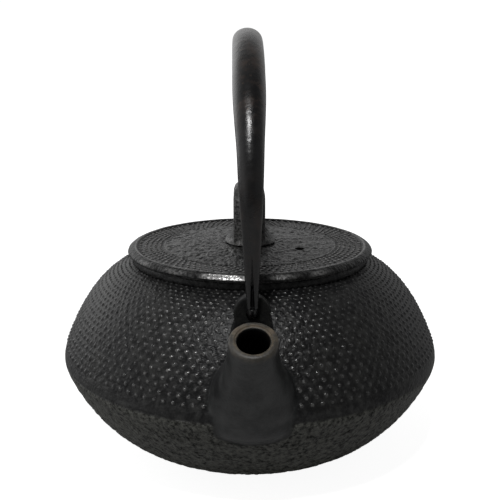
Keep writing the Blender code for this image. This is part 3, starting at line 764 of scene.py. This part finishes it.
def mark_lid(lid, dots):
    co = coordinates(lid)
    radius, angle = polar(co)
    in_ring = (radius > RING_START) & (radius < RING_STOP)
    tops = dots(np.log(np.maximum(radius, MM) / RING_START), angle) * in_ring * (co[:, 2] > 81.0 * MM)
    around = np.degrees(angle)
    # A painted highlight on the rim's outer slope at the front left, and rubbed patches round the rim.
    rubs_and_highlight = np.exp(-(((around - 258.5) / 8.5) ** 4))
    for place, width, strength in RUBBED:
        rubs_and_highlight = np.maximum(rubs_and_highlight, strength * np.exp(-(((around - place) / width) ** 2)))
    crown = np.exp(-(((radius - 48.9 * MM) / (0.8 * MM)) ** 4)) * (co[:, 2] > 81.4 * MM)
    wear_and_highlight = np.maximum(step(tops, 0.2, 0.7) * 0.3, crown * rubs_and_highlight)
    # Lighter lines on the rim's crest and lower edge: slight wear and painted highlight.
    crest = np.exp(-(((radius - 46.5 * MM) / (0.35 * MM)) ** 2)) * (co[:, 2] > 82.9 * MM)
    low_edge = np.exp(-(((co[:, 2] - 80.6 * MM) / (0.25 * MM)) ** 2)) * (radius > 48.9 * MM)
    mark(lid, "wear_and_highlight", np.maximum(wear_and_highlight, np.maximum(0.2 * crest, 0.15 * low_edge)))
    on_top = co[:, 2] > 82 * MM
    mark(lid, "disc", (radius < 34.9 * MM) * on_top * 1.0)
    mark(lid, "ring", in_ring * on_top * 1.0)
    from_vent = np.hypot(co[:, 0] - VENT[0], co[:, 1] - VENT[1])
    # The vent's wall, painted black as shade in the hole.
    mark(lid, "hole", (from_vent < VENT_R + 0.1 * MM) * step(83.6 * MM - co[:, 2], 0, 0.3 * MM))


def make_lid():
    disc = even(np.array(LID_DISC) * MM, DISC_ROWS)
    kerb, rim, under = (np.array(part) * MM for part in (LID_KERB, LID_RIM, LID_UNDER))
    field_r = RING_START * (RING_STOP / RING_START) ** np.linspace(0, 1, RING_ROWS)
    field = np.stack([field_r, np.full(RING_ROWS, 82.7 * MM)], -1)
    profile = np.concatenate([disc, kerb, field, rim, under])
    dots = Dots(math.log(36.5 / 35.5), math.log(44.7 / 35.5), 5, 98, 0.0165, 0.5 * MM, 11)
    lid = turned("lid_casting", profile, LID_COLS, lid_skin(profile, field_r, dots))
    combine(lid, rod((*VENT, 78 * MM), (*VENT, 86 * MM), VENT_R), "DIFFERENCE")
    combine(lid, rod((0, 0, 78 * MM), (0, 0, 86 * MM), STEM_HOLE_R), "DIFFERENCE")
    mark_lid(lid, dots)
    finish_mesh(lid, 55)
    material = lid_material()
    paint(lid, material)
    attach(lid, "lid")
    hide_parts("lid_plate")
    return material


def superellipse(half_x, half_y, n, power):
    a = np.arange(n) * TAU / n
    c, s = np.cos(a), np.sin(a)
    return half_x * np.sign(c) * np.abs(c) ** (2 / power), half_y * np.sign(s) * np.abs(s) ** (2 / power)


KNOB_HALF_WIDTH = 6.35 * MM
KNOB_SHIFT = -0.35 * MM  # the loop sits a little to the left, as in the photograph
KNOB_FOOT = 84.6 * MM
STEM = ((0.1, 85.6), (3.0, 85.6), (3.0, 78.7), (4.6, 78.7), (4.5, 78.2), (3.8, 77.5), (0.1, 77.5))


def make_knob(material):
    low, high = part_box("lid_knob")
    half, thick = 10.0 * MM, 4.2 * MM
    middle, centre = half - thick / 2, high.z - half
    path = [(-middle, z) for z in np.linspace(KNOB_FOOT + 0.6 * MM, centre, 8)]
    arc = np.linspace(0, math.pi, 24)[1:-1]
    path += [(-middle * math.cos(a), centre + middle * math.sin(a)) for a in arc]
    path += [(middle, z) for z in np.linspace(centre, KNOB_FOOT + 0.6 * MM, 8)]
    path = np.array(path)
    along = np.gradient(path, axis=0)
    along /= np.linalg.norm(along, axis=1, keepdims=True)
    rows = []
    for (y, z), (dy, dz) in zip(path, along):
        rise = max(0.0, 1 - (high.z - z) / (6 * MM))
        x, v = superellipse(KNOB_HALF_WIDTH * (1 - 0.28 * rise**2), thick / 2, 40, 3.4)
        rows.append(np.stack([x + KNOB_SHIFT, y - dz * v, z + dy * v], -1))
    loop = solid_grid("knob_casting", np.array(rows)[::-1])
    rows = []
    for share in np.linspace(0, 1, 14):
        spread = (1 - share) ** 1.7
        x, y = superellipse((6.6 + 3.8 * spread) * MM, (9.2 + 3.1 * spread) * MM, 64, 2.3)
        rows.append(np.stack([x, y, np.full(64, KNOB_FOOT + share * 6.0 * MM)], -1))
    flare = solid_grid("flare", np.array(rows)[::-1])
    stem = turned("stem", np.array(STEM) * MM, 40)
    for piece in (flare, stem):
        combine(loop, piece, "UNION")
    remesh = loop.modifiers.new("r", "REMESH")
    remesh.mode = "VOXEL"
    remesh.voxel_size = 0.36 * MM
    smooth = loop.modifiers.new("s", "SMOOTH")
    smooth.factor = 0.5
    smooth.iterations = 3
    settle(loop)
    co = np.clip(coordinates(loop), np.array(low), np.array(high))
    loop.data.vertices.foreach_set("co", co.astype(np.float32).ravel())
    crest = step(co[:, 2], 103 * MM, 108 * MM) * 0.16
    mark(loop, "wear_and_highlight", np.maximum(crest, 0.1 * (np.hypot(co[:, 0], co[:, 1]) > 9.5 * MM)))
    for name in ("disc", "hole", "ring"):
        mark(loop, name, np.zeros(len(co)))
    finish_mesh(loop, 70)
    paint(loop, material)
    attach(loop, "lid")
    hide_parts("lid_knob")


# ---------------------------------------------------------------- handle


BOW_END = (67.5 * MM, 78.0 * MM)
BOW_SHOULDER = (70.5 * MM, 108.0 * MM)
BOW_RISE = 55.3 * MM
BOW_LEAN = 0.012
LEG_STEPS = 60
ARCH_STEPS = 160


def bow_path():
    """The bow's middle line from the front leg's end over the arch to the rear leg's end."""
    share = np.arange(LEG_STEPS) / LEG_STEPS
    y = BOW_END[0] + (BOW_SHOULDER[0] - BOW_END[0]) * (1 - (1 - share) ** 2)
    leg = np.stack([-y, BOW_END[1] + (BOW_SHOULDER[1] - BOW_END[1]) * share], -1)
    angle = np.linspace(0, math.pi, ARCH_STEPS + 1)
    arch = np.stack([-BOW_SHOULDER[0] * np.cos(angle), BOW_SHOULDER[1] + BOW_RISE * np.sin(angle)], -1)
    return np.concatenate([leg, arch, leg[::-1] * (-1, 1)])


def bow_half_width(z):
    heights = np.array([70, 78, 86, 97, 114, 131, 139, 145, 170]) * MM
    sizes = np.array([1.9, 1.95, 2.3, 2.85, 3.85, 4.6, 5.2, 5.6, 5.65]) * MM
    spread = np.linspace(-3, 3, 9) * MM
    return np.mean([np.interp(z + s, heights, sizes) for s in spread], axis=0)


def bow_points(shrink, overrun, sides, hammer=0.0):
    path = bow_path()
    along = np.gradient(path, axis=0)
    along /= np.linalg.norm(along, axis=1, keepdims=True)
    path[0] -= along[0] * overrun
    path[-1] += along[-1] * overrun
    wide = bow_half_width(np.clip(path[:, 1], 78 * MM, 170 * MM))
    deep = np.maximum(wide * 0.82, 1.9 * MM)
    turn = np.arange(sides) * TAU / sides
    marks = hammer * (grain(len(path), sides, 9, 10, 21) - 1)
    u = (wide[:, None] - shrink + marks) * np.cos(turn)
    v = (deep[:, None] - shrink + marks) * np.sin(turn)
    lean = BOW_LEAN * (PIVOT_Z - path[:, 1:])
    points = np.stack([lean + u, path[:, :1] - along[:, 1:] * v, path[:, 1:] + along[:, :1] * v], -1)
    return points[::-1]


def seam_wedge(side):
    """Opens the seam on a leg's outer face, widest at its end."""
    rows = []
    for z, half, lag in ((76.0, 0.86, 0.0), (84.0, 0.55, 1.0), (91.0, 0.24, 2.0), (96.5, 0.04, 2.5)):
        inner, outer = 67.7 + lag, 76.5
        lean = BOW_LEAN * (PIVOT_Z - z * MM)
        corners = ((-1, inner), (1, inner), (1, outer), (-1, outer))
        rows.append([(lean + x * half * MM, side * y * MM, z * MM) for x, y in corners])
    rows = np.array(rows)
    return solid_grid("wedge", rows[::-1] if side > 0 else rows)


def make_handle():
    bow = solid_grid("handle_rolled_bow", bow_points(0, 0, 64, 0.05 * MM))
    combine(bow, solid_grid("hollow", bow_points(0.9 * MM, MM, 32)), "DIFFERENCE")
    for side in (-1, 1):
        combine(bow, seam_wedge(side), "DIFFERENCE")
    co = np.clip(coordinates(bow), *(np.array(corner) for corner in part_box("handle_bow")))
    bow.data.vertices.foreach_set("co", co.astype(np.float32).ravel())
    grip = step(co[:, 2], 128 * MM, 150 * MM) * 0.75
    bend = np.exp(-(((co[:, 2] - 146 * MM) / (9 * MM)) ** 2)) * 1.0
    legs = np.exp(-(((co[:, 2] - 104 * MM) / (14 * MM)) ** 2)) * 0.45
    mark(bow, "wear_and_highlight", np.maximum(np.maximum(grip, bend), legs))
    finish_mesh(bow, 50)
    material = handle_material()
    paint(bow, material)
    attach(bow, "handle")
    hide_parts("handle_bow")
    for side, node in ((-1, "front_hook"), (1, "rear_hook")):
        hook = make_hook(side)
        co = coordinates(hook)
        mark(hook, "wear_and_highlight", 0.9 * np.exp(-(((co[:, 2] - PIVOT_Z) / (1.6 * MM)) ** 2)))
        finish_mesh(hook, 50)
        paint(hook, material)
        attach(hook, "handle")
        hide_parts(node)
        hook.name = node + "_forged"


def make_hook(side):
    """A forged pin: a thin tenon up into the bow, a bend, and a straight end through the lug."""
    low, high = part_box("front_hook" if side < 0 else "rear_hook")
    tip = abs(high.y) if side < 0 else abs(low.y)
    lean = math.radians(10.52)
    down = np.array([-math.sin(lean), -math.cos(lean)])
    foot = np.array(BOW_END)
    bend, thick, thin = 3.2 * MM, 1.6 * MM, 0.7 * MM
    drop = bend * (1 - math.sin(lean))
    turn_at = foot + down * (foot[1] - PIVOT_Z - drop) / math.cos(lean)
    stations = []
    for below, size in ((-6.8, thin), (0.28, thin), (0.3, thick * 0.9), (0.42, thick)):
        stations.append((*(foot + down * below * MM), lean, size))
    middle = turn_at + bend * np.array([-math.cos(lean), math.sin(lean)])
    for angle in np.linspace(lean, math.pi / 2, 16):
        y, z = middle + bend * np.array([math.cos(angle), -math.sin(angle)])
        stations.append((y, z, angle, thick))
    for back, size in ((1.2, 1.0), (0.6, 0.98), (0.25, 0.88), (0.05, 0.7)):
        stations.append((tip + back * MM, PIVOT_Z, math.pi / 2, thick * size))
    turn = np.arange(32) * TAU / 32
    rows = []
    for y, z, angle, radius in stations:
        x, v = radius * np.cos(turn), radius * np.sin(turn)
        rows.append(np.stack([x, y + v * math.cos(angle), z - v * math.sin(angle)], -1))
    points = np.array(rows)
    if side < 0:
        points = points * (-1, -1, 1)
    return solid_grid("hook", points)


# ---------------------------------------------------------------- strainer


def tubes(name, lines, radius, closed):
    """Four-sided wires along many lines of equal length, each line n x 3 points."""
    lines = np.asarray(lines, float)
    count, n = lines.shape[:2]
    if closed:
        along = np.roll(lines, -1, 1) - np.roll(lines, 1, 1)
    else:
        along = np.gradient(lines, axis=1)
    along /= np.linalg.norm(along, axis=2, keepdims=True)
    helper = np.zeros_like(lines)
    helper[..., 2] = 1
    steep = np.abs(along[..., 2]) > 0.8
    radial = lines.copy()
    radial[..., 2] = 0
    radial /= np.maximum(np.linalg.norm(radial, axis=2, keepdims=True), 1e-9)
    helper[steep] = radial[steep]
    u = np.cross(along, helper)
    u /= np.linalg.norm(u, axis=2, keepdims=True)
    v = np.cross(along, u)
    ring = np.stack([lines + radius * u, lines + radius * v, lines - radius * u, lines - radius * v], 2)
    quads = []
    faces = grid_faces(n, 4, closed)
    corners = np.arange(4)
    for first in np.arange(count) * n * 4:
        quads.append(faces[:, ::-1] + first)
        if not closed:
            last = first + (n - 1) * 4
            quads.append(np.array([first + corners, last + corners[::-1]]))
    return mesh_from(name, ring.reshape(-1, 3), np.concatenate(quads))


def join(name, meshes):
    objects = [add(name, m) for m in meshes]
    with bpy.context.temp_override(active_object=objects[0], selected_editable_objects=objects):
        bpy.ops.object.join()
    return objects[0]


WIRE_R = 0.13 * MM
WEAVE = 0.12 * MM  # how far a wire swings to each side to pass over and under the others
WALL_WIRES = 200
WALL_RINGS = 26
FLOOR_PITCH = 1.27 * MM
COLLAR = (  # radius and height in mm
    *((40.98, 79.2), (41.2, 79.3), (43.9, 79.3), (44.15, 79.15), (44.2, 78.95), (44.1, 78.75), (43.8, 78.7)),
    *((42.0, 78.7), (41.7, 78.6), (41.6, 78.3), (41.6, 74.2), (41.45, 74.0), (41.45, 73.4), (41.6, 73.2)),
    *((41.6, 69.2), (41.5, 69.0), (41.1, 69.0), (41.0, 69.2), (41.0, 73.2), (40.9, 73.4), (40.9, 74.0)),
    (41.0, 74.2),
)
BAND = (
    *((40.9, 42.9), (41.0, 43.0), (41.3, 43.0), (41.4, 42.9), (41.4, 39.2), (41.2, 38.6), (40.8, 38.4)),
    *((36.2, 38.4), (36.0, 38.55), (36.0, 38.75), (36.2, 38.9), (40.6, 38.9), (40.9, 39.1)),
)


def woven_wall():
    low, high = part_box("strainer_mesh_wall")
    radius = high.x - 0.25 * MM
    z = np.linspace(low.z + WIRE_R, high.z - WIRE_R, 2 * WALL_RINGS + 1)
    lines = []
    for i in range(WALL_WIRES):
        a = TAU * i / WALL_WIRES
        r = radius + WEAVE * np.cos(np.pi * (np.arange(len(z)) / 2 + i))
        lines.append(np.stack([r * math.cos(a), r * math.sin(a), z], -1))
    up = tubes("wall", lines, WIRE_R, False)
    lines = []
    crossings = 2 * WALL_WIRES
    a = TAU * np.arange(crossings) / crossings
    for k in range(WALL_RINGS + 1):
        r = radius - WEAVE * np.cos(np.pi * (np.arange(crossings) / 2 + k))
        lines.append(np.stack([r * np.cos(a), r * np.sin(a), np.full(crossings, z[2 * k])], -1))
    around = tubes("wall", lines, WIRE_R, True)
    return join("strainer_woven_wall", [up, around])


def woven_floor():
    low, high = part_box("strainer_mesh_floor")
    reach, middle = high.x - 0.2 * MM, (low.z + high.z) / 2
    meshes = []
    number = int(reach / FLOOR_PITCH)
    for flip in (False, True):
        for i in range(-number, number + 1):
            across = i * FLOOR_PITCH
            half = math.sqrt(max(0, reach**2 - across**2))
            if half < 4 * FLOOR_PITCH:
                continue
            m = int(half / (FLOOR_PITCH / 2))
            t = np.arange(-m, m + 1) * FLOOR_PITCH / 2
            wave = WEAVE * np.cos(np.pi * (t / FLOOR_PITCH + i)) * (-1 if flip else 1)
            level = np.full(len(t), across)
            x, y = (level, t) if flip else (t, level)
            meshes.append(tubes("floor", [np.stack([x, y, middle + wave], -1)], WIRE_R, False))
    return join("strainer_woven_floor", meshes)


def make_strainer():
    wall = woven_wall()
    steel = steel_material("stainless_wire", (300.0, 300.0, 300.0))
    paint(wall, steel)
    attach(wall, "strainer")
    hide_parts("strainer_mesh_wall")

    floor = woven_floor()
    paint(floor, steel)
    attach(floor, "strainer")
    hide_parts("strainer_mesh_floor")

    brushed = steel_material("stainless_brushed", (40.0, 40.0, 2600.0))
    collar = turned("strainer_collar_ring", np.array(COLLAR) * MM, 256, ring=True)
    paint(collar, brushed)
    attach(collar, "strainer")
    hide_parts("strainer_collar")
    band = turned("strainer_band_ring", np.array(BAND) * MM, 256, ring=True)
    paint(band, brushed)
    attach(band, "strainer")
    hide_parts("strainer_base_band")


# ---------------------------------------------------------------- stage


CAMERA_AWAY = 0.304
CAMERA_HIGH = 0.158
CAMERA_TURN = math.radians(0.7)


def area(name, place, aim, size, power):
    light = bpy.data.lights.new(name, "AREA")
    light.shape = "RECTANGLE"
    light.size, light.size_y = size
    light.energy = power
    obj = add(name, light)
    obj.location = place
    obj.rotation_euler = (Vector(aim) - Vector(place)).to_track_quat("-Z", "Y").to_euler()


def make_stage():
    s = Shader("pale_floor")
    soft = s.ramp(s.noise(3, 2), 0.3, 0.7, 0.44, 0.46)
    seen = s.node("LightPath", "Is Camera Ray")
    away = s.node("VectorMath", "Value", {0: s.place}, operation="LENGTH")
    s.put(s.main.inputs["Emission Color"], (1, 1, 1, 1))
    s.end(
        Base_Color=s.node("CombineColor", 0, {0: soft, 1: soft, 2: soft}),
        Roughness=0.95,
        Specular_IOR_Level=0.0,
        Emission_Strength=s.math("MULTIPLY", seen, s.ramp(away, 0.12, 0.5, 0.93, 1.05)),
    )
    points = np.array([(-8, -8, 0), (8, -8, 0), (8, 8, 0), (-8, 8, 0)], float)
    floor = add("floor", mesh_from("floor", points, [[0, 1, 2, 3]]))
    floor.location.z = -0.05 * MM
    floor.data.materials.append(s.made)


def make_room():
    """Light and reflections from a room, a brightness for each direction. The camera sees plain white."""
    world = bpy.data.worlds.new("studio")
    bpy.context.scene.world = world
    world.use_nodes = True
    nodes, links = world.node_tree.nodes, world.node_tree.links
    path = nodes.new("ShaderNodeLightPath")
    where = nodes.new("ShaderNodeTexCoord")
    split = nodes.new("ShaderNodeSeparateXYZ")
    links.new(where.outputs["Generated"], split.inputs[0])

    def ramp(source, low, high, out_low, out_high):
        made = nodes.new("ShaderNodeMapRange")
        made.interpolation_type = "SMOOTHSTEP"
        links.new(source, made.inputs[0])
        for i, value in enumerate((low, high, out_low, out_high), 1):
            made.inputs[i].default_value = value
        return made.outputs[0]

    def calculate(operation, a, b):
        made = nodes.new("ShaderNodeMath")
        made.operation = operation
        for socket, value in zip(made.inputs, (a, b)):
            if isinstance(value, float):
                socket.default_value = value
            else:
                links.new(value, socket)
        return made.outputs[0]

    across, deep, high = split.outputs
    backdrop = calculate("MULTIPLY", ramp(deep, 0.0, 0.6, 0.0, 0.66), ramp(high, 0.35, 0.75, 1.0, 0.18))
    backdrop = calculate("MULTIPLY", backdrop, ramp(across, -0.45, 0.45, 1.2, 0.75))
    left = ramp(across, -0.3, -0.95, 0.0, 0.46)
    right = ramp(across, 0.3, 0.95, 0.0, 0.2)
    room = calculate("ADD", calculate("ADD", backdrop, 0.07), calculate("ADD", left, right))
    room = calculate("MULTIPLY", room, ramp(across, -0.8, 0.8, 1.35, 0.75))
    level = nodes.new("ShaderNodeMapRange")
    links.new(room, level.inputs[3])
    level.inputs[4].default_value = 1.05
    links.new(path.outputs["Is Camera Ray"], level.inputs[0])
    links.new(level.outputs[0], nodes["Background"].inputs[1])
    nodes["Background"].inputs[0].default_value = (1, 1, 1, 1)


def make_camera():
    scene = bpy.context.scene
    scene.view_settings.view_transform = "Standard"
    scene.view_settings.look = "None"
    camera = bpy.data.cameras.new("camera")
    camera.lens = 54.9
    camera.sensor_width = 36
    camera.clip_start = 0.01
    obj = add("camera", camera)
    obj.location = (-CAMERA_AWAY * math.sin(CAMERA_TURN), -CAMERA_AWAY * math.cos(CAMERA_TURN), CAMERA_HIGH)
    obj.rotation_euler = (math.radians(90 - 14.4), 0, -CAMERA_TURN)
    scene.camera = obj


make_stage()
make_room()
area("key", (-0.08, -0.45, 0.80), (0, 0, 0.07), (0.075, 0.075), 3.6)
make_camera()
make_body()
lid_iron = make_lid()
make_knob(lid_iron)
make_handle()
make_strainer()
washer = frame["nodes"]["knob_washer"]
washer.data.materials.clear()
washer.data.materials.append(steel_material("washer_steel", (900.0, 900.0, 900.0)))
